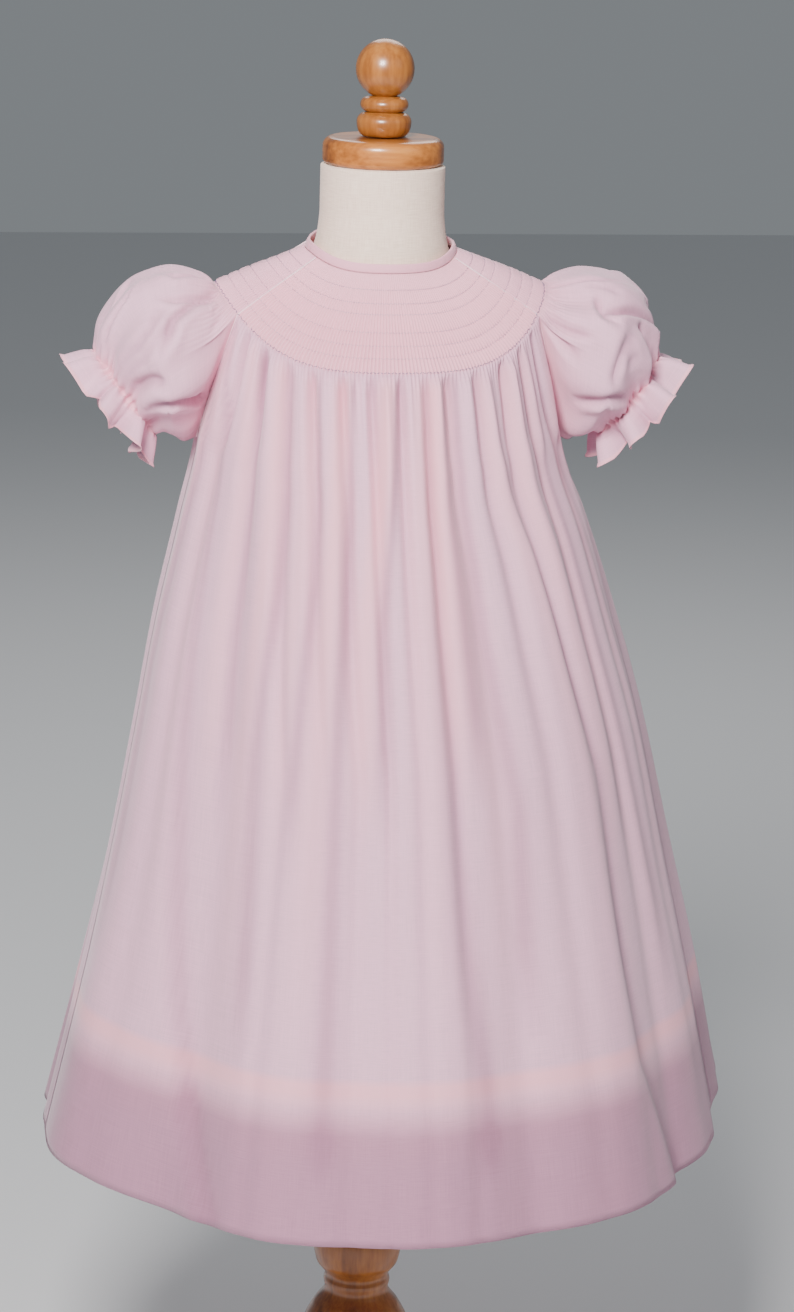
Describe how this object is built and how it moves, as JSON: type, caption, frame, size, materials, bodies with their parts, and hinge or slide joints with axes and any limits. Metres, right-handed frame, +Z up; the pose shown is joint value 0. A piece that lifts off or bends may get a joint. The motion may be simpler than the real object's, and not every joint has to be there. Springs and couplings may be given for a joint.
{
  "type": "smocked bishop dress on a limbless dress form",
  "caption": "Short puff-sleeved child's dress, smocked round the neck in concentric rows and falling full to a deep hem, worn by a limbless dress form on a turned wooden stand.",
  "frame": {"origin": "middle of the round foot's underside, on the surface that the stand rests on", "axes": "+Z up along the post, -Y towards the front of the dress, +X towards the wearer's left"},
  "size_m": [0.4518, 0.4098, 0.9453],
  "materials": {
    "dress_cloth": "pale pink sheer cotton batiste, plain weave",
    "form_cloth": "cream cotton drawn over padding",
    "turned_wood": "golden brown, varnished, glossy",
    "button": "small pearly shirt button"
  },
  "bodies": {
    "root": {"front": "dress_cloth", "back_left": "dress_cloth", "back_right": "dress_cloth", "sleeve_left": "dress_cloth", "sleeve_right": "dress_cloth", "neck_binding": "dress_cloth", "back_placket": "dress_cloth", "button_1": "button", "button_2": "button", "button_3": "button", "form_torso": "form_cloth", "neck_cap": "turned_wood", "finial": "turned_wood", "stand_post": "turned_wood", "stand_base": "turned_wood"}
  },
  "joints": []
}
